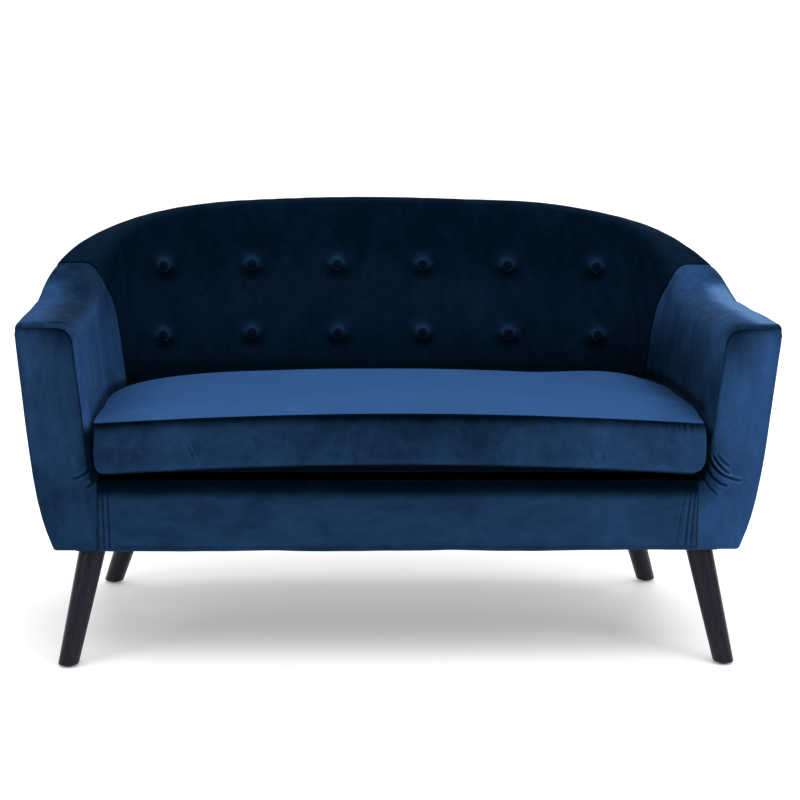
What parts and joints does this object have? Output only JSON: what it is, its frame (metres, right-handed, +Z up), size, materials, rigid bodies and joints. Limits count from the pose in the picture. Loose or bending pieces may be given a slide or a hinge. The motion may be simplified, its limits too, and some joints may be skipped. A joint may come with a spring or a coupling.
{
  "type": "two-seat tub sofa",
  "caption": "Low two-seat tub sofa in velvet: button-tufted back that sweeps down into level arms, loose D-shaped seat cushion, plain front border and splayed black wooden legs.",
  "frame": {"origin": "on the floor under the middle of the sofa's outline", "axes": "+X to the sitter's left, which is the viewer's right, +Y to the back of the sofa, +Z up"},
  "size_m": [1.31, 0.715, 0.765],
  "materials": {
    "velvet": "navy velvet with a short brushed nap",
    "black_wood": "black satin lacquer",
    "frame_timber": "bare sawn timber",
    "foam": "open-cell foam",
    "felt": "grey needle felt",
    "lining_cloth": "black non-woven lining cloth",
    "webbing": "woven elastic webbing",
    "twine": "waxed twine",
    "steel": "zinc-plated steel",
    "glide_plastic": "matt black plastic"
  },
  "bodies": {
    "sofa": {"front_rail": "frame_timber", "rear_rail": "frame_timber", "centre_bearer": "frame_timber", "back_top_rail": "frame_timber", "back_tack_rail": "frame_timber", "leg_corner_plates": "frame_timber", "frame_dowels": "frame_timber", "right_side_rail": "frame_timber", "left_side_rail": "frame_timber", "right_rear_corner_rail": "frame_timber", "left_rear_corner_rail": "frame_timber", "right_arm_front_post": "frame_timber", "left_arm_front_post": "frame_timber", "right_arm_top_rail": "frame_timber", "left_arm_top_rail": "frame_timber", "right_arm_tack_rail": "frame_timber", "left_arm_tack_rail": "frame_timber", "right_arm_strut": "frame_timber", "left_arm_strut": "frame_timber", "right_rear_corner_post": "frame_timber", "left_rear_corner_post": "frame_timber", "right_back_upright": "frame_timber", "left_back_upright": "frame_timber", "right_front_leg": "black_wood", "left_front_leg": "black_wood", "right_rear_leg": "black_wood", "left_rear_leg": "black_wood", "inside_back_cover": "velvet", "tuft_buttons": "velvet", "outside_back_panel": "velvet", "front_border": "velvet", "right_inside_arm_cover": "velvet", "left_inside_arm_cover": "velvet", "right_outside_arm_panel": "velvet", "left_outside_arm_panel": "velvet", "right_arm_facing": "velvet", "left_arm_facing": "velvet", "back_foam": "foam", "right_arm_foam": "foam", "left_arm_foam": "foam", "deck_felt": "felt", "deck_cloth": "lining_cloth", "dust_cover": "lining_cloth", "seat_webbing": "webbing", "seat_cross_webbing": "webbing", "back_webbing": "webbing", "tuft_twines": "twine", "tuft_washers": "steel", "corner_plate_screws": "steel", "leg_hanger_bolts": "steel", "leg_t_nuts": "steel", "leg_glides": "glide_plastic"},
    "seat_cushion": {"seat_cushion_cover": "velvet", "seat_cushion_foam": "foam"}
  },
  "joints": [
    {"name": "cushion_lift", "type": "slide", "parent": "sofa", "child": "seat_cushion", "axis": [0, 0, 1], "range_m": [0, 0.45]}
  ]
}
